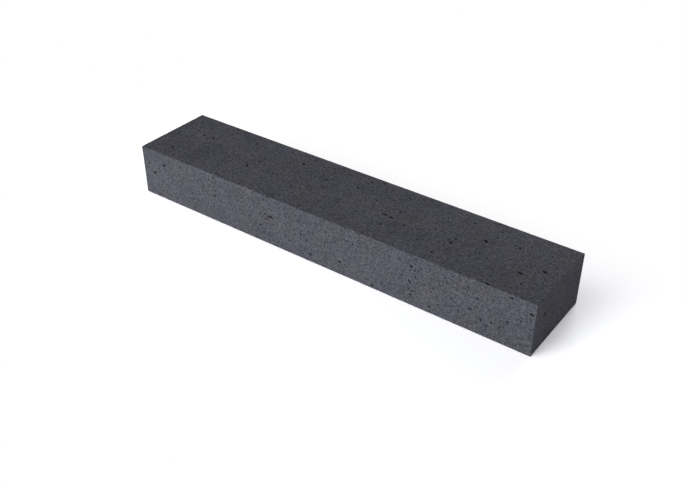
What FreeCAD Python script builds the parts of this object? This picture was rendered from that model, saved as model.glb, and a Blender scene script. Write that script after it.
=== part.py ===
"""Concrete stacking block: a plain rectangular block, cast in one piece and laid flat.

Blocks of this kind are stacked dry or glued, course on course, into low garden walls, steps and edging.
The block is solid concrete right through, with six flat faces that meet at arrises only slightly eased
by the mould. The fine blowholes of its cast skin are surface texture, and aren't part of this solid.

Frame: millimetres, with the origin at the centre of the bottom bed face.
+X runs along the length, +Y from the front face to the back face, and +Z up, from bed to bed.
"""

import FreeCAD, Part
import os

# Driving dimensions, mm
BLOCK_LENGTH = 1000.0
BLOCK_WIDTH = 200.0
COURSE_HEIGHT = 120.0
ARRIS_RADIUS = 1.5

OUT_FOLDER = "parts"


def rectangular_block(length, width, height):
    """A sharp block, centred on the origin in plan and standing on the plane z = 0."""
    corner = FreeCAD.Vector(-length / 2, -width / 2, 0)
    return Part.makeBox(length, width, height, corner)


def ease_arrises(block, radius):
    """The block with each of its twelve arrises rounded, as it leaves the mould."""
    return block.makeFillet(radius, block.Edges)


def concrete_block():
    sharp_block = rectangular_block(BLOCK_LENGTH, BLOCK_WIDTH, COURSE_HEIGHT)
    return ease_arrises(sharp_block, ARRIS_RADIUS)


def main():
    nodes = {"concrete_block": concrete_block()}
    os.makedirs(OUT_FOLDER, exist_ok=True)
    for name, shape in nodes.items():
        shape.exportStep(os.path.join(OUT_FOLDER, name + ".step"))


main()
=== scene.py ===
import math
import random

import bpy
import numpy as np
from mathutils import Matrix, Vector, noise
from mathutils.geometry import delaunay_2d_cdt
from mathutils.kdtree import KDTree


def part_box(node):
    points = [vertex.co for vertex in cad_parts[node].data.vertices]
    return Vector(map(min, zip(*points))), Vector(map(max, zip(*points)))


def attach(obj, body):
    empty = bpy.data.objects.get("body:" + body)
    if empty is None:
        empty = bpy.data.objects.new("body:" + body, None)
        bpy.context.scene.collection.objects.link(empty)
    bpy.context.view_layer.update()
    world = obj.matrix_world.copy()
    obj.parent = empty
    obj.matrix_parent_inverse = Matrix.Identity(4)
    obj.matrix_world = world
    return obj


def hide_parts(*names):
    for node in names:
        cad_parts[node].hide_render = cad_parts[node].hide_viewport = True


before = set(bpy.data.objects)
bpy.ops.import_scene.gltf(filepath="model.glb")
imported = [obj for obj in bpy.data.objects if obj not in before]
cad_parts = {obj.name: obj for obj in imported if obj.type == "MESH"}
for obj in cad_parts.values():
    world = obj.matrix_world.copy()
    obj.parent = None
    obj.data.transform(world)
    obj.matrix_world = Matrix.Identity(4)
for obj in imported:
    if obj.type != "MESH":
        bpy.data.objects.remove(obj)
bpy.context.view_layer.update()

NODE = "concrete_block"
BOX_LOW, BOX_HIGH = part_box(NODE)
MM = 0.001
SEED = 4

X, Y, Z = 0, 1, 2
BOX_SIZE = np.array(BOX_HIGH - BOX_LOW) / MM
BOX_CORNER = np.array(BOX_LOW) / MM

# Each face: the two axes that lie in it, the axis across it, and on which side of the block it is.
FACES = {
    "bottom": (X, Y, Z, -1),
    "front": (X, Z, Y, -1),
    "top": (X, Y, Z, 1),
    "back": (X, Z, Y, 1),
    "left_end": (Y, Z, X, -1),
    "right_end": (Y, Z, X, 1),
}

# Arrises, mm
ARRIS_RADIUS = 1.25
ARRIS_UNEVENNESS = 0.3
ARRIS_WAVE, ARRIS_RIPPLE = 23, 7
RIPPLE_SHARE = 0.5
ARRIS_WEAR_WIDTH = 3.0
ARRIS_STATION_GAP = 4.5
BAND_OFFSETS = (0.45, 0.95, 1.55, 2.5, 4.2)
WANDER_WITHIN = 2 * BAND_OFFSETS[2]

# Chips out of the arrises, in mm and in shares of a chip's own size
CHIPS_PER_METRE = 9.0
CHIP_END_MARGIN = 12.0
CHIP_HALF_LENGTHS = (0.9, 1.7)
CHIP_STRETCHES = (1.0, 1.0, 1.6)
CHIP_REACHES = (0.5, 0.95)
CHIP_DEPTH = 0.75
CHIP_SCOOP_POWER = 1.5
# The painted shade in a chip's scoop where it is deepest, as a pit shade value
CHIP_PAINTED_SHADE = 0.5
CHIP_UNEVENNESS = 0.12
CHIP_WAVES, CHIP_WAVE_SHARES = (2, 3, 5), (0.4, 1)
CHIP_RINGS = (1.0, 0.84, 0.58, 0.28)
CHIP_ARC_STEPS = 6
# How far things keep from the middle of a chip, in shares of its size
CLEAR_OF_CHIP = {"station": 1.25, "point": 1.12, "hole": 1.6}
CHIP_SEARCH_ALONG, CHIP_SEARCH_ACROSS = 4, 3

# The loose grid over each face, mm
FILL_GAP = 11.0
FILL_INSET = 8.0
FILL_JITTER = 0.2

# Blowholes, in mm and in shares of a hole's own size
SMALLEST_HOLE = 1.7
LARGEST_RANDOM_HOLE = 4.3
HOLE_SIZE_FALLOFF = 3.3
HOLE_SLIMNESS = (0.7, 1.0)
HOLE_DEPTHS = (0.55, 0.85)
HOLE_CLEARANCE = 0.7
HOLE_WAVES, HOLE_WAVE_SHARES = (2, 3, 4), (0.5, 1.3)
SHORT_HOLE = 3
SHORT_HOLE_UNEVENNESS, HOLE_UNEVENNESS = 0.045, 0.075
# A hole of this length or more gets the full painted shade, and a shorter one is paler.
FULL_SHADE_LENGTH = 13.0

# A hole's rings from the rim inwards, as shares of its outline and of its depth, for each limit on its
# half length: a larger hole gets a rounder bowl.
BOWL_RINGS = {
    1.6: ((1.0, 0.0), (0.62, 0.8)),
    2.6: ((1.0, 0.0), (0.86, 0.45), (0.5, 0.9)),
    math.inf: ((1.0, 0.0), (0.94, 0.28), (0.76, 0.7), (0.42, 0.95)),
}
FEWEST_RING_STEPS, MOST_RING_STEPS = 7, 18
RING_STEPS_AT_ZERO, RING_STEPS_PER_MM = 5, 1.5

# Grid points this near a hole are left out, as a share of its outline and in mm beside its width.
HOLE_KEEP_OUT, HOLE_KEEP_OUT_MARGIN = 1.15, 0.2
KEEP_OUT_SEARCH, KEEP_OUT_SEARCH_MARGIN = 1.3, 0.5

# Random holes gather in patches about this wide, mm, and towards the right-hand end.
PATCH_SIZE = 70
CROWDING, CROWDING_TO_RIGHT, CROWDING_IN_PATCHES = 0.5, 0.35, 0.55
PLACE_OF_END_FACES = 0.6

# The mesh: each face is triangulated over its whole outline, and points this close, mm, count as one.
TRIANGLES_TO_HULL = 0
SAME_POINT = 1e-4
WELD_DECIMALS = 3
SHARP_ANGLE = math.radians(38)
UV_GAP = 8.0

# The main blowholes, read off the faces. Each is the distance along the face and up (or back) from
# its lower (or front) left corner, its length and width, and how far it is turned, in mm and degrees.
FRONT_HOLES = [
    (68, 91, 11, 6.5, 8), (34.5, 61.7, 13, 7, 15), (50, 78, 4, 4, 0), (19, 85, 5, 5, 0),
    (224, 80, 7, 5, 20), (222, 66, 7, 6, 20), (155, 34.5, 5, 4, 0), (170, 36, 7, 5, 0),
    (195, 36, 4.5, 4, 0), (367, 73.4, 9, 6, -10), (382.5, 71.3, 16, 7, -2), (370, 61, 7, 5, 10),
    (352.5, 41, 9, 4.5, 15), (424, 88, 6, 4.5, 20), (458, 91, 6, 4.5, 0), (465, 59, 6, 5, 0),
    (479, 51, 5, 5, 0), (489, 19, 7.5, 7, 0), (432, 31.5, 8, 3.5, 15), (583, 90, 8.5, 3.8, 10),
    (597, 88, 5, 5, 0), (553, 76.5, 5, 4, 0), (565, 32, 9, 6, 40), (646.5, 7, 8, 6, 0),
    (736.5, 92.5, 8.5, 6, 35), (745, 86.5, 5.5, 5, 0), (734, 55, 12, 5, -58), (732, 38, 5, 5, 0),
    (737, 25, 6, 6, 0), (861.5, 99, 6, 5, 0), (882.5, 82, 8, 5, -20), (873, 69, 3.5, 3, 0),
    (869, 51, 8, 5, 50), (810, 66, 5, 4, 0), (811, 98, 4, 4, 0), (781, 16.5, 8, 4.5, 35),
    (833, 41.5, 5.5, 4, 20), (845, 34, 5, 4.5, 0), (893, 36, 7, 6, 50), (906, 28, 5, 4.5, 0),
    (884, 27, 4.5, 4, 0), (915.5, 39.5, 7, 6.5, 60), (946.5, 56, 7, 6, 0), (972.5, 71, 5, 4.5, 50),
    (857, 23, 4, 4, 0), (990, 21, 5, 4, 0), (991.5, 95, 11, 6, -4), (950, 113.5, 7, 5, 20),
]
TOP_HOLES = [
    (207, 164, 8, 6, -50), (352, 155.5, 9, 8, -30), (434, 130, 8, 7, 0), (80, 122.5, 9, 6, -50),
    (106, 127, 10, 6, -50), (55, 105, 6, 4, 0), (102.5, 195.8, 9, 4, 0), (202, 36.5, 7, 5, 0),
    (225, 9, 8, 6, 0), (86, 15.5, 9, 6, 0), (60, 40, 13, 6, -30), (266.5, 106, 10, 4.5, -52),
    (255, 75, 12, 5, -50), (451, 12, 7, 5, 0), (463, 178.5, 7, 5.5, 0), (420, 178.5, 6.5, 5, 0),
    (318, 17, 7, 5.5, -50), (308, 82, 6, 6, 0), (614, 89.6, 16, 7.5, -4), (630.6, 87.4, 12.5, 7, -14),
    (668, 77, 6, 6, 0), (627, 54, 7, 6, -30), (716, 51.5, 5.5, 5, 0), (777, 95.5, 6.5, 6, 0),
    (775, 81, 9, 8, 20), (765.8, 87.5, 6, 5, 0), (828, 125.5, 11, 8, -50), (891.5, 143, 9, 5.5, -55),
    (779, 168, 7, 6.5, 0), (965, 100.5, 14, 8.5, -18), (931, 70, 13, 8, -12), (978, 76.5, 6, 5, 0),
    (947, 41, 6.5, 6, 0), (762, 30, 9, 5.5, -55), (897, 5, 13.5, 7, -4), (544, 191, 9, 7, 20),
    (521, 179, 8, 6, 20), (820, 194.5, 7, 5, 0), (509, 143, 8, 8, 0), (838, 171.5, 6, 5.5, 0),
    (885, 45.5, 4.5, 4, 0), (635, 115, 7, 4.5, -50), (570.5, 124, 5, 5, 0),
]
RIGHT_END_HOLES = [
    (39, 75, 11, 6.5, 10), (27, 24, 4, 4, 0), (120, 58, 4, 3, 0), (158, 92, 4, 3, 0),
]
NAMED_HOLES = {"front": FRONT_HOLES, "top": TOP_HOLES, "right_end": RIGHT_END_HOLES}

# How many small blowholes each face has beside the named ones, to a square centimetre
HOLES_PER_CM2 = {
    "front": 0.95,
    "top": 0.7,
    "right_end": 0.5,
    "left_end": 0.5,
    "back": 0.6,
    "bottom": 0.25,
}
MM2_PER_CM2 = 100

# The concrete's two tints, the size of their patches in mm and the detail of that noise, and the stretch
# of its values over which one tint changes into the other
CONCRETE_COOL = (0.081, 0.083, 0.1035, 1.0)
CONCRETE_NEUTRAL = (0.0838, 0.0852, 0.0982, 1.0)
TINT_PATCHES = (45, 1.0)
TINT_STRETCH = (0.35, 0.65)

# The layers of the grain: size in mm, detail and roughness of the noise, the stretch of its values that
# counts, and the brightness at the two ends of that stretch
GRAIN_LAYERS = {
    "clouds": (110, 3.0, 0.5, 0.3, 0.7, 0.93, 1.07),
    "blotches": (22, 3.0, 0.5, 0.3, 0.7, 0.93, 1.07),
    "paste": (5.5, 2.0, 0.5, 0.3, 0.7, 0.74, 1.26),
    "speckle": (3.4, 1.0, 0.5, 0.34, 0.56, 0.76, 1.08),
    "sand": (1.9, 2.0, 0.6, 0.25, 0.75, 0.88, 1.12),
}
# The layers of round spots: size of a cell in mm, how far out a spot is whole and where it ends, the share
# of cells with a spot, and the brightness in the middle of one
SPOT_LAYERS = {
    # The pinholes' dark middles are painted shade in the hollows that the bump presses in
    "pinholes": (4.4, 0.2, 0.32, 0.7, 0.38),
    "dots": (2.7, 0.22, 0.4, 0.6, 0.75),
    "flecks": (3.6, 0.15, 0.36, 0.5, 1.5),
    "damp": (14.0, 0.08, 0.32, 0.55, 0.66),
}
# The power that the grain is raised to, on the front and from the top and the ends round to the back
FRONT_CONTRAST, OTHER_CONTRAST = 0.9, 1.25
# The brightness of the painted shade in a hole from this pit shade value on, and on a bare arris
FULL_PIT_SHADE, PIT_SHADE_BRIGHTNESS = 0.8, 0.25
WEAR_BRIGHTNESS = 1.06
DOT_HOLLOW, SAND_HEIGHT = 0.5, 0.9
BUMP_STRENGTH, BUMP_DEPTH = 0.6, 0.45 * MM
PASTE_STRETCH, ROUGHNESS = (0.3, 0.7), (0.8, 0.92)
SPECULAR_LEVEL = 0.08


# ---------------------------------------------------------------- outlines

def random_waves(counts, unevenness, shares, draw):
    """Waves round an outline: how many times each goes up and down, where it starts, and its height."""
    return [(k, draw.uniform(0, 2 * math.pi), unevenness * draw.uniform(*shares)) for k in counts]


def wave_height(waves, angle):
    return sum(share * math.cos(k * angle + phase) for k, phase, share in waves)


class Blowhole:
    """An air bubble that the mould face cut open: an uneven oval with a rounded floor."""

    def __init__(self, u, v, length, width, turn_degrees, draw):
        self.u, self.v = u, v
        self.half_length, self.half_width = length / 2, width / 2
        turn = math.radians(turn_degrees)
        self.cos, self.sin = math.cos(turn), math.sin(turn)
        self.depth = width * draw.uniform(*HOLE_DEPTHS)
        unevenness = SHORT_HOLE_UNEVENNESS if length < SHORT_HOLE else HOLE_UNEVENNESS
        self.waves = random_waves(HOLE_WAVES, unevenness, HOLE_WAVE_SHARES, draw)
        self.reach = self.half_length * (1 + sum(share for _, _, share in self.waves))
        # How much of the full painted shade this hole's bowl gets
        self.shade = min(1.0, length / FULL_SHADE_LENGTH)

    def outline(self, angle):
        """The outline's radius at an angle, as a share of the plain oval's."""
        return 1 + wave_height(self.waves, angle)

    def point(self, angle, share):
        """A point on the ring that is this share of the outline."""
        along = math.cos(angle) * self.half_length * share * self.outline(angle)
        across = math.sin(angle) * self.half_width * share * self.outline(angle)
        u = self.u + along * self.cos - across * self.sin
        v = self.v + along * self.sin + across * self.cos
        return (u, v)

    def share_at(self, u, v):
        """How far out a point is: under 1 inside the outline."""
        du, dv = u - self.u, v - self.v
        along = (du * self.cos + dv * self.sin) / self.half_length
        across = (dv * self.cos - du * self.sin) / self.half_width
        return math.hypot(along, across) / self.outline(math.atan2(across, along))

    def rings(self):
        return next(rings for limit, rings in BOWL_RINGS.items() if self.half_length < limit)

    def ring_steps(self):
        steps = round(RING_STEPS_AT_ZERO + RING_STEPS_PER_MM * self.half_length)
        return max(FEWEST_RING_STEPS, min(MOST_RING_STEPS, steps))


class Chip:
    """A flake lost from an arris: a shallow scoop, as a half oval on each of the two faces."""

    def __init__(self, place, half_length, reaches, draw):
        self.place, self.half_length, self.reaches = place, half_length, reaches
        self.depth = CHIP_DEPTH * min(reaches.values())
        self.waves = random_waves(CHIP_WAVES, CHIP_UNEVENNESS, CHIP_WAVE_SHARES, draw)

    def outline(self, angle):
        """1 at both ends, which the two faces share, and uneven between them."""
        return 1 + math.sin(angle) * wave_height(self.waves, angle)

    def share_at(self, along, across, cross_axis):
        a = (along - self.place) / self.half_length
        b = across / self.reaches[cross_axis]
        return math.hypot(a, b) / self.outline(math.atan2(b, a))

    def sink(self, share):
        """How deep the scoop is at this share of its outline."""
        return self.depth * (1 - min(share, 1) ** CHIP_SCOOP_POWER)


class Arris:
    """One edge of the block, with the stations that both of its faces use."""

    def __init__(self, run, sides, draw):
        self.run, self.sides = run, sides
        self.length = float(BOX_SIZE[run])
        self.chips = self.make_chips(draw)
        self.stations = self.make_stations()

    def make_chips(self, draw):
        chips = []
        for _ in range(round(self.length * MM * CHIPS_PER_METRE)):
            half_length = draw.uniform(*CHIP_HALF_LENGTHS) * draw.choice(CHIP_STRETCHES)
            reaches = {axis: half_length * draw.uniform(*CHIP_REACHES) for axis in self.sides}
            place = draw.uniform(CHIP_END_MARGIN, self.length - CHIP_END_MARGIN)
            if all(abs(place - c.place) > 2 * (half_length + c.half_length) for c in chips):
                chips.append(Chip(place, half_length, reaches, draw))
        return chips

    def make_stations(self):
        """Points along the arris, closer at its ends and at its chips."""
        plain_from, plain_to = BAND_OFFSETS[-1], self.length - BAND_OFFSETS[-1]
        count = round((plain_to - plain_from) / ARRIS_STATION_GAP)
        plain = np.linspace(plain_from, plain_to, count + 1)
        clear = CLEAR_OF_CHIP["station"]
        stations = [s for s in plain if all(abs(s - c.place) > clear * c.half_length for c in self.chips)]
        stations += [0.0, self.length]
        for offset in BAND_OFFSETS[:-1]:
            stations += [offset, self.length - offset]
        for chip in self.chips:
            stations.append(chip.place)
            for share in CHIP_RINGS:
                stations += [chip.place - share * chip.half_length, chip.place + share * chip.half_length]
        return sorted(stations)


def arris_key(run, sides):
    return run, tuple(sorted(sides.items()))


def make_arrises(draw):
    arrises = {}
    for run in (X, Y, Z):
        first, second = [axis for axis in (X, Y, Z) if axis != run]
        for first_side in (-1, 1):
            for second_side in (-1, 1):
                sides = {first: first_side, second: second_side}
                arrises[arris_key(run, sides)] = Arris(run, sides, draw)
    return arrises


# ---------------------------------------------------------------- one face

class FaceMesh:
    """The points, joined outlines and triangles of one face, flat, before anything is pressed in."""

    def __init__(self, name, arrises, draw):
        self.name = name
        self.u_axis, self.v_axis, self.n_axis, self.side = FACES[name]
        self.length, self.width = float(BOX_SIZE[self.u_axis]), float(BOX_SIZE[self.v_axis])
        self.arrises, self.draw = arrises, draw
        self.points, self.edges = [], []
        self.pushes, self.pit_shades = [], []
        self.holes = self.make_holes()

    def add(self, u, v, push=(0.0, 0.0, 0.0), pit_shade=0.0):
        self.points.append((u, v))
        self.pushes.append(push)
        self.pit_shades.append(pit_shade)
        return len(self.points) - 1

    def join(self, ring, closed=True):
        following = ring[1:] + ring[:1] if closed else ring[1:]
        self.edges += zip(ring, following)

    # Blowholes

    def make_holes(self):
        holes = [Blowhole(*numbers, self.draw) for numbers in NAMED_HOLES.get(self.name, ())]
        wanted = len(holes) + round(self.length * self.width / MM2_PER_CM2 * HOLES_PER_CM2[self.name])
        while len(holes) < wanted:
            hole = self.random_hole()
            if hole and self.has_room(hole, holes):
                holes.append(hole)
        return holes

    def random_hole(self):
        """A blowhole of a random size and place, or none where the face has few."""
        u, v = self.draw.uniform(0, self.length), self.draw.uniform(0, self.width)
        if self.draw.random() > self.crowding(u, v):
            return None
        size = SMALLEST_HOLE * self.draw.random() ** (-1 / HOLE_SIZE_FALLOFF)
        size = min(size, LARGEST_RANDOM_HOLE)
        slimness = self.draw.uniform(*HOLE_SLIMNESS)
        return Blowhole(u, v, size, size * slimness, self.draw.uniform(0, 180), self.draw)

    def crowding(self, u, v):
        """The share of blowholes kept at a place. Each face has its own slice of the noise."""
        slice_of_noise = 10 * self.n_axis + self.side
        patch = noise.noise(Vector((u / PATCH_SIZE, v / PATCH_SIZE, slice_of_noise)))
        towards_right = u / self.length if self.u_axis == X else PLACE_OF_END_FACES
        return CROWDING + CROWDING_TO_RIGHT * towards_right + CROWDING_IN_PATCHES * patch

    def has_room(self, hole, holes):
        room = hole.reach + HOLE_CLEARANCE
        if not (room < hole.u < self.length - room and room < hole.v < self.width - room):
            return False
        for other in holes:
            if math.hypot(hole.u - other.u, hole.v - other.v) < hole.reach + other.reach + HOLE_CLEARANCE:
                return False
        return all(share >= CLEAR_OF_CHIP["hole"] for share in self.chip_shares(hole.u, hole.v))

    def add_holes(self):
        inward = [0.0, 0.0, 0.0]
        inward[self.n_axis] = -self.side
        for hole in self.holes:
            steps = hole.ring_steps()
            start = self.draw.uniform(0, math.pi)
            for share, depth_share in hole.rings():
                depth = depth_share * hole.depth
                push = tuple(depth * part for part in inward)
                # Painted shade in the bowl, darker on the deeper rings
                pit_shade = depth_share * hole.shade
                angles = [start + 2 * math.pi * i / steps for i in range(steps)]
                self.join([self.add(*hole.point(angle, share), push, pit_shade) for angle in angles])
            self.add(hole.u, hole.v, tuple(hole.depth * part for part in inward), hole.shade)

    # Arrises and their chips

    def borders(self):
        """Each border: its arris, the axis across it, and a function from (along, across) to (u, v)."""
        n_side = {self.n_axis: self.side}
        for side, level in ((-1, 0.0), (1, self.width)):
            arris = self.arrises[arris_key(self.u_axis, {self.v_axis: side, **n_side})]
            yield arris, self.v_axis, lambda along, across, s=side, at=level: (along, at - s * across)
        for side, level in ((-1, 0.0), (1, self.length)):
            arris = self.arrises[arris_key(self.v_axis, {self.u_axis: side, **n_side})]
            yield arris, self.u_axis, lambda along, across, s=side, at=level: (at - s * across, along)

    def chip_shares(self, u, v):
        """How far out a point is on each chip of the face."""
        for arris, cross_axis, _ in self.borders():
            along = u if arris.run == self.u_axis else v
            across = v if arris.run == self.u_axis else u
            if arris.sides[cross_axis] > 0:
                across = float(BOX_SIZE[cross_axis]) - across
            for chip in arris.chips:
                near_along = abs(along - chip.place) < CHIP_SEARCH_ALONG * chip.half_length
                if near_along and across < CHIP_SEARCH_ACROSS * chip.reaches[cross_axis]:
                    yield chip.share_at(along, across, cross_axis)

    def add_borders(self):
        """The outer loop, on the arrises, with the chips' half ovals inside it."""
        on_arris = {}
        for arris, cross_axis, to_face in self.borders():
            line = []
            for station in arris.stations:
                spot = to_face(station, 0.0)
                if spot not in on_arris:
                    on_arris[spot] = self.add(*spot, *self.chip_push(arris, station))
                line.append(on_arris[spot])
            self.join(line, closed=False)
            for chip in arris.chips:
                self.add_chip(chip, arris, cross_axis, to_face, on_arris)

    def chip_push(self, arris, station):
        for chip in arris.chips:
            share = abs(station - chip.place) / chip.half_length
            if share < 1:
                return self.push_from(arris, chip, share)
        return (0.0, 0.0, 0.0), 0.0

    def push_from(self, arris, chip, share):
        """The scoop's push at one point, which goes in from both faces alike, and its pit value, which is
        painted shade.
        """
        sink = chip.sink(share)
        push = [0.0, 0.0, 0.0]
        for axis, side in arris.sides.items():
            push[axis] = -side * sink / math.sqrt(2)
        return tuple(push), CHIP_PAINTED_SHADE * sink / chip.depth

    def add_chip(self, chip, arris, cross_axis, to_face, on_arris):
        for share in CHIP_RINGS:
            stations = [chip.place + way * share * chip.half_length for way in (1, -1)]
            ends = [on_arris[to_face(station, 0.0)] for station in stations]
            arc = []
            for i in range(1, CHIP_ARC_STEPS):
                angle = math.pi * i / CHIP_ARC_STEPS
                radius = share * chip.outline(angle)
                along = chip.place + math.cos(angle) * chip.half_length * radius
                across = math.sin(angle) * chip.reaches[cross_axis] * radius
                arc.append(self.add(*to_face(along, across), *self.push_from(arris, chip, share)))
            self.join([ends[0], *arc, ends[1]], closed=False)

    # Plain points between the features

    def band_points(self):
        """Rows beside each arris, which its rounding bends, and a small grid in each corner."""
        inner = BAND_OFFSETS[-1]
        for arris, _, to_face in self.borders():
            for station in arris.stations:
                if inner < station < arris.length - inner:
                    for offset in BAND_OFFSETS:
                        yield to_face(station, offset)
        for u_offset in BAND_OFFSETS:
            for v_offset in BAND_OFFSETS:
                for u in (u_offset, self.length - u_offset):
                    for v in (v_offset, self.width - v_offset):
                        yield u, v

    def fill_points(self):
        """A loose grid over the rest of the face."""
        columns = round((self.length - 2 * FILL_INSET) / FILL_GAP)
        rows = round((self.width - 2 * FILL_INSET) / FILL_GAP)
        for i in range(columns + 1):
            for j in range(rows + 1):
                shift = 0.5 * (j % 2) / columns
                u = FILL_INSET + (self.length - 2 * FILL_INSET) * min(i / columns + shift, 1)
                v = FILL_INSET + (self.width - 2 * FILL_INSET) * j / rows
                if FILL_INSET < u < self.length - FILL_INSET:
                    u += self.draw.uniform(-FILL_JITTER, FILL_JITTER) * FILL_GAP
                yield u, v

    def add_plain_points(self):
        """The band and the fill, without what falls in or too near a blowhole or a chip."""
        spots = list(dict.fromkeys([*self.band_points(), *self.fill_points()]))
        tree = KDTree(len(spots))
        for i, (u, v) in enumerate(spots):
            tree.insert((u, v, 0.0), i)
        tree.balance()
        taken = set()
        for hole in self.holes:
            keep_out = HOLE_KEEP_OUT + HOLE_KEEP_OUT_MARGIN / hole.half_width
            search = KEEP_OUT_SEARCH * hole.reach + KEEP_OUT_SEARCH_MARGIN
            for (u, v, _), i, _ in tree.find_range((hole.u, hole.v, 0.0), search):
                if hole.share_at(u, v) < keep_out:
                    taken.add(i)
        clear = CLEAR_OF_CHIP["point"]
        for i, (u, v) in enumerate(spots):
            if i not in taken and all(share >= clear for share in self.chip_shares(u, v)):
                self.add(u, v)

    # The result

    def triangulate(self):
        self.add_borders()
        self.add_holes()
        self.add_plain_points()
        flat = [Vector(point) for point in self.points]
        made = delaunay_2d_cdt(flat, self.edges, [], TRIANGLES_TO_HULL, SAME_POINT, True)
        _, _, found, origins, _, _ = made
        triangles = np.array([[origins[i][0] for i in triangle] for triangle in found])
        outward = (self.v_axis - self.u_axis) % 3 == 1
        if outward != (self.side > 0):
            triangles = triangles[:, ::-1]
        return triangles

    def rest_places(self):
        """The flat points in the block's own axes, from its lowest corner."""
        flat = np.array(self.points)
        places = np.zeros((len(flat), 3))
        places[:, self.u_axis] = flat[:, 0]
        places[:, self.v_axis] = flat[:, 1]
        places[:, self.n_axis] = 0.0 if self.side < 0 else BOX_SIZE[self.n_axis]
        return places


# ---------------------------------------------------------------- the skin

def eased(places):
    """The points with each arris rounded, by a radius that wanders a little along it."""
    waves = np.array([noise.noise(Vector(p) / ARRIS_WAVE) for p in places])
    ripples = np.array([noise.noise(Vector(p) / ARRIS_RIPPLE) for p in places])
    wander = waves + RIPPLE_SHARE * ripples
    near = (np.minimum(places, BOX_SIZE - places) < WANDER_WITHIN).sum(1) > 1
    radius = np.where(near, ARRIS_RADIUS * (1 + ARRIS_UNEVENNESS * wander), ARRIS_RADIUS)[:, None]
    core = np.clip(places, radius, BOX_SIZE - radius)
    out = places - core
    return core + radius * out / np.linalg.norm(out, axis=1, keepdims=True)


def bake_layout():
    """Where each face lies on the sheet of the skin's UV map, in mm, and the size of that sheet."""
    corners, level = {}, 0.0
    for name in ("bottom", "front", "top", "back"):
        corners[name] = (0.0, level)
        level += BOX_SIZE[FACES[name][1]] + UV_GAP
    corners["left_end"] = (0.0, level)
    corners["right_end"] = (BOX_SIZE[Y] + UV_GAP, level)
    return corners, (BOX_SIZE[X], level + BOX_SIZE[Z])


def make_skin():
    """The block's whole surface as one closed mesh."""
    draw = random.Random(SEED)
    arrises = make_arrises(draw)
    corners, sheet = bake_layout()
    triangles, places, pushes, pit_shades, uvs = [], [], [], [], []
    count = 0
    for name in FACES:
        face = FaceMesh(name, arrises, draw)
        found = face.triangulate()
        flat = (np.array(face.points) + corners[name]) / sheet
        triangles.append(found + count)
        uvs.append(flat[found.ravel()])
        places.append(face.rest_places())
        pushes.append(np.array(face.pushes))
        pit_shades.append(np.array(face.pit_shades))
        count += len(face.points)
    places = np.concatenate(places)
    rounded = np.round(places, WELD_DECIMALS)
    _, first, welded = np.unique(rounded, axis=0, return_index=True, return_inverse=True)
    places = places[first]
    points = eased(places) + np.concatenate(pushes)[first]
    faces = welded.ravel()[np.concatenate(triangles)]

    mesh = bpy.data.meshes.new("block_skin")
    mesh.from_pydata(((points + BOX_CORNER) * MM).tolist(), [], faces.tolist())
    # The pit shade attribute holds the painted shade in blowholes and chips; the wear marks the arrises.
    for name, values in (("pit_shade", np.concatenate(pit_shades)[first]), ("wear", arris_wear(places))):
        mesh.attributes.new(name, "FLOAT", "POINT").data.foreach_set("value", values)
    sheet_places = np.concatenate(uvs).astype(np.float32).ravel()
    mesh.uv_layers.new(name="OFBake").uv.foreach_set("vector", sheet_places)
    mesh.shade_smooth()
    mesh.set_sharp_from_angle(angle=SHARP_ANGLE)
    skin = bpy.data.objects.new("block_skin", mesh)
    bpy.context.scene.collection.objects.link(skin)
    return skin


def arris_wear(places):
    """1 on an arris, and 0 from the wear's width away from it."""
    second_nearest = np.sort(np.minimum(places, BOX_SIZE - places), axis=1)[:, 1]
    return np.clip(1 - second_nearest / ARRIS_WEAR_WIDTH, 0, 1)


# ---------------------------------------------------------------- materials

# The Mix node's colour sockets, which share their names with its other sockets
MIX_FACTOR, MIX_FIRST, MIX_SECOND, MIX_RESULT = 0, 6, 7, 2


class NodeSheet:
    """Short ways to add nodes to a material or world."""

    def __init__(self, owner):
        owner.use_nodes = True
        self.tree = owner.node_tree
        self.tree.nodes.clear()

    def add(self, kind, inputs=None, **settings):
        """A node, with its settings, and with each input set to a value or linked to a socket."""
        node = self.tree.nodes.new(kind)
        for name, value in settings.items():
            setattr(node, name, value)
        for name, value in (inputs or {}).items():
            if isinstance(value, bpy.types.NodeSocket):
                self.tree.links.new(value, node.inputs[name])
            else:
                node.inputs[name].default_value = value
        return node

    def noise(self, place, size_mm, detail=2.0, roughness=0.5):
        inputs = {"Vector": place, "Scale": 1 / (size_mm * MM), "Detail": detail, "Roughness": roughness}
        return self.add("ShaderNodeTexNoise", inputs).outputs["Fac"]

    def cells(self, place, size_mm):
        inputs = {"Vector": place, "Scale": 1 / (size_mm * MM)}
        return self.add("ShaderNodeTexVoronoi", inputs)

    def spread(self, value, low, high, to_low, to_high):
        inputs = {"Value": value, "From Min": low, "From Max": high, "To Min": to_low, "To Max": to_high}
        return self.add("ShaderNodeMapRange", inputs).outputs["Result"]

    def maths(self, operation, first, second):
        return self.add("ShaderNodeMath", {0: first, 1: second}, operation=operation).outputs[0]

    def product(self, values):
        total = values[0]
        for value in values[1:]:
            total = self.maths("MULTIPLY", total, value)
        return total

    def mix_colours(self, factor, first, second, blend="MIX"):
        inputs = {MIX_FACTOR: factor, MIX_FIRST: first, MIX_SECOND: second}
        return self.add("ShaderNodeMix", inputs, data_type="RGBA", blend_type=blend).outputs[MIX_RESULT]

    def is_seen(self):
        """1 for a ray that shows the background to the camera, straight or in a reflection or glass."""
        path = self.add("ShaderNodeLightPath").outputs
        straight_or_glossy = self.maths("MAXIMUM", path["Is Camera Ray"], path["Is Glossy Ray"])
        return self.maths("MAXIMUM", straight_or_glossy, path["Is Transmission Ray"])


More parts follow.
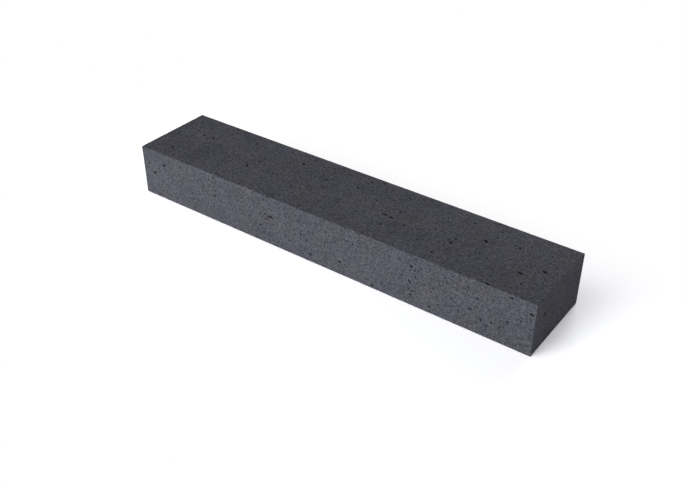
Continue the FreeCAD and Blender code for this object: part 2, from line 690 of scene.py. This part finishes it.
def pores(sheet, place, cell_mm, inner, outer, kept):
    """Round spots of random size, 1 at the middle: one to a cell, in this share of the cells."""
    cells = sheet.cells(place, cell_mm)
    spot = sheet.spread(cells.outputs["Distance"], inner, outer, 1.0, 0.0)
    chance = sheet.add("ShaderNodeSeparateXYZ", {"Vector": cells.outputs["Color"]}).outputs["X"]
    return sheet.maths("MULTIPLY", spot, sheet.maths("LESS_THAN", chance, kept))


def concrete():
    """Dark, through-coloured cast concrete: cloudy cement, sand grain, and pinholes and blowholes darkened
    with painted shade.
    """
    material = bpy.data.materials.new("cast_concrete")
    sheet = NodeSheet(material)
    coordinates = sheet.add("ShaderNodeTexCoord").outputs
    place = coordinates["Object"]
    pit_shade = sheet.add("ShaderNodeAttribute", attribute_name="pit_shade").outputs["Fac"]
    wear = sheet.add("ShaderNodeAttribute", attribute_name="wear").outputs["Fac"]

    noises = {name: sheet.noise(place, *look[:3]) for name, look in GRAIN_LAYERS.items()}
    spots = {name: pores(sheet, place, *look[:4]) for name, look in SPOT_LAYERS.items()}
    grain = sheet.product([sheet.spread(noises[name], *look[3:]) for name, look in GRAIN_LAYERS.items()])
    facing = sheet.add("ShaderNodeSeparateXYZ", {"Vector": coordinates["Normal"]}).outputs["Y"]
    contrast = sheet.spread(facing, -1.0, 0.0, FRONT_CONTRAST, OTHER_CONTRAST)

    brightness = sheet.product([
        sheet.maths("POWER", grain, contrast),
        *[sheet.spread(spots[name], 0.0, 1.0, 1.0, look[4]) for name, look in SPOT_LAYERS.items()],
        # Painted shade in the blowholes and chips
        sheet.spread(pit_shade, 0.0, FULL_PIT_SHADE, 1.0, PIT_SHADE_BRIGHTNESS),
        sheet.spread(wear, 0.0, 1.0, 1.0, WEAR_BRIGHTNESS),
    ])
    tint = sheet.spread(sheet.noise(place, *TINT_PATCHES), *TINT_STRETCH, 0.0, 1.0)
    tinted = sheet.mix_colours(tint, CONCRETE_COOL, CONCRETE_NEUTRAL)
    colour = sheet.mix_colours(1.0, tinted, brightness, "MULTIPLY")

    hollows = sheet.maths("ADD", spots["pinholes"], sheet.maths("MULTIPLY", spots["dots"], DOT_HOLLOW))
    height = sheet.maths("SUBTRACT", sheet.maths("MULTIPLY", noises["sand"], SAND_HEIGHT), hollows)
    bump_inputs = {"Height": height, "Strength": BUMP_STRENGTH, "Distance": BUMP_DEPTH}
    bump = sheet.add("ShaderNodeBump", bump_inputs)

    shader = sheet.add("ShaderNodeBsdfPrincipled", {
        "Base Color": colour,
        "Roughness": sheet.spread(noises["paste"], *PASTE_STRETCH, *ROUGHNESS),
        "Specular IOR Level": SPECULAR_LEVEL,
        "Normal": bump.outputs["Normal"],
    })
    sheet.add("ShaderNodeOutputMaterial", {"Surface": shader.outputs["BSDF"]})
    return material


# ---------------------------------------------------------------- the studio

WHITE = (1.0, 1.0, 1.0, 1.0)
FLOOR_HALF = 30.0
FLOOR_COLOUR = (0.85, 0.85, 0.85, 1.0)
FLOOR_AS_SEEN = (0.96, 0.965, 1.0, 1.0)
# The paper shows the block's shadow inside an ellipse with these half axes, in m, and fades to white from
# there on. The lift is the share of white inside the ellipse.
SHADOW_HALF_AXES = Vector((1.0, 0.2, 1.0))
SHADOW_FADE_END = 1.7
SHADOW_LIFT = 0.16
AMBIENT = 0.1

# Camera, round the middle of the block's base
CAMERA_AZIMUTH, CAMERA_ELEVATION = math.radians(36.31), math.radians(34.2)
CAMERA_DISTANCE = 1.9975
CAMERA_LENS, CAMERA_SENSOR = 48.23, 36.0
CAMERA_AIM = Vector((0.0011, -0.0016, 0.0))

# Softboxes round the block, all square and facing its base: azimuth, elevation and watts
SOFTBOX_DISTANCE, SOFTBOX_SIZE = 3.0, 1.8
SOFTBOXES = {
    "front_left_softbox": (-45, 12, 17.0),
    "front_softbox": (-15, 12, 75.0),
    "front_right_softbox": (45, 12, 21.5),
    "high_softbox": (-15, 60, 17.0),
    "back_softbox": (180, 12, 80.0),
}


def towards(azimuth, elevation):
    """The direction from the block to a place round it: azimuth 0 is in front, 90 at the right end."""
    flat = math.cos(elevation)
    return Vector((math.sin(azimuth) * flat, -math.cos(azimuth) * flat, math.sin(elevation)))


def floor_paper():
    """White paper: it shows the block's shadow near the block, and looks plain white further off."""
    material = bpy.data.materials.new("studio_paper")
    sheet = NodeSheet(material)
    paper = sheet.add("ShaderNodeBsdfDiffuse", {"Color": FLOOR_COLOUR}).outputs["BSDF"]
    bright = sheet.add("ShaderNodeBsdfDiffuse", {"Color": FLOOR_AS_SEEN}).outputs["BSDF"]
    # Twice over, so that the open floor near the block comes out about white at the lamps' level.
    near = sheet.add("ShaderNodeAddShader", {0: bright, 1: bright}).outputs["Shader"]
    white = sheet.add("ShaderNodeEmission", {"Strength": 1.0}).outputs["Emission"]
    place = sheet.add("ShaderNodeTexCoord").outputs["Object"]
    scaled = sheet.add("ShaderNodeVectorMath", {0: place, 1: SHADOW_HALF_AXES}, operation="DIVIDE")
    distance = sheet.add("ShaderNodeVectorMath", {0: scaled.outputs["Vector"]}, operation="LENGTH")
    far = sheet.spread(distance.outputs["Value"], 1.0, SHADOW_FADE_END, SHADOW_LIFT, 1.0)
    seen = sheet.add("ShaderNodeMixShader", {0: far, 1: near, 2: white}).outputs["Shader"]
    shown = sheet.add("ShaderNodeMixShader", {0: sheet.is_seen(), 1: paper, 2: seen})
    sheet.add("ShaderNodeOutputMaterial", {"Surface": shown.outputs["Shader"]})
    return material


def make_floor():
    mesh = bpy.data.meshes.new("studio_floor")
    level = BOX_LOW.z
    corners = [(x, y, level) for x, y in ((-1, -1), (1, -1), (1, 1), (-1, 1))]
    mesh.from_pydata([(x * FLOOR_HALF, y * FLOOR_HALF, z) for x, y, z in corners], [], [(0, 1, 2, 3)])
    mesh.materials.append(floor_paper())
    floor = bpy.data.objects.new("studio_floor", mesh)
    bpy.context.scene.collection.objects.link(floor)


def make_world():
    world = bpy.data.worlds.new("studio")
    sheet = NodeSheet(world)
    soft = sheet.add("ShaderNodeBackground", {"Color": WHITE, "Strength": AMBIENT})
    white = sheet.add("ShaderNodeBackground", {"Color": WHITE, "Strength": 1.0})
    inputs = {0: sheet.is_seen(), 1: soft.outputs["Background"], 2: white.outputs["Background"]}
    shown = sheet.add("ShaderNodeMixShader", inputs)
    sheet.add("ShaderNodeOutputWorld", {"Surface": shown.outputs["Shader"]})
    bpy.context.scene.world = world


def make_softboxes():
    for name, (azimuth, elevation, watts) in SOFTBOXES.items():
        lamp = bpy.data.lights.new(name, "AREA")
        lamp.shape = "SQUARE"
        lamp.size = SOFTBOX_SIZE
        lamp.energy = watts
        softbox = bpy.data.objects.new(name, lamp)
        way = towards(math.radians(azimuth), math.radians(elevation))
        aim_from(softbox, base_middle(), way, SOFTBOX_DISTANCE)
        softbox.visible_camera = False
        bpy.context.scene.collection.objects.link(softbox)


def make_camera():
    data = bpy.data.cameras.new("camera")
    data.sensor_width, data.lens = CAMERA_SENSOR, CAMERA_LENS
    camera = bpy.data.objects.new("camera", data)
    way = towards(CAMERA_AZIMUTH, CAMERA_ELEVATION)
    aim_from(camera, base_middle() + CAMERA_AIM, way, CAMERA_DISTANCE)
    bpy.context.scene.collection.objects.link(camera)
    bpy.context.scene.camera = camera


def base_middle():
    middle = (BOX_LOW + BOX_HIGH) / 2
    middle.z = BOX_LOW.z
    return middle


def aim_from(thing, target, way, distance):
    """Puts a lamp or camera at a distance from a point, that way from it, and turns it to face it."""
    thing.location = target + way * distance
    thing.rotation_mode = "QUATERNION"
    thing.rotation_quaternion = (-way).to_track_quat("-Z", "Y")


skin = make_skin()
skin.data.materials.append(concrete())
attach(skin, "root")
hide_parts(NODE)

make_floor()
make_world()
make_softboxes()
make_camera()
bpy.context.scene.view_settings.view_transform = "Standard"
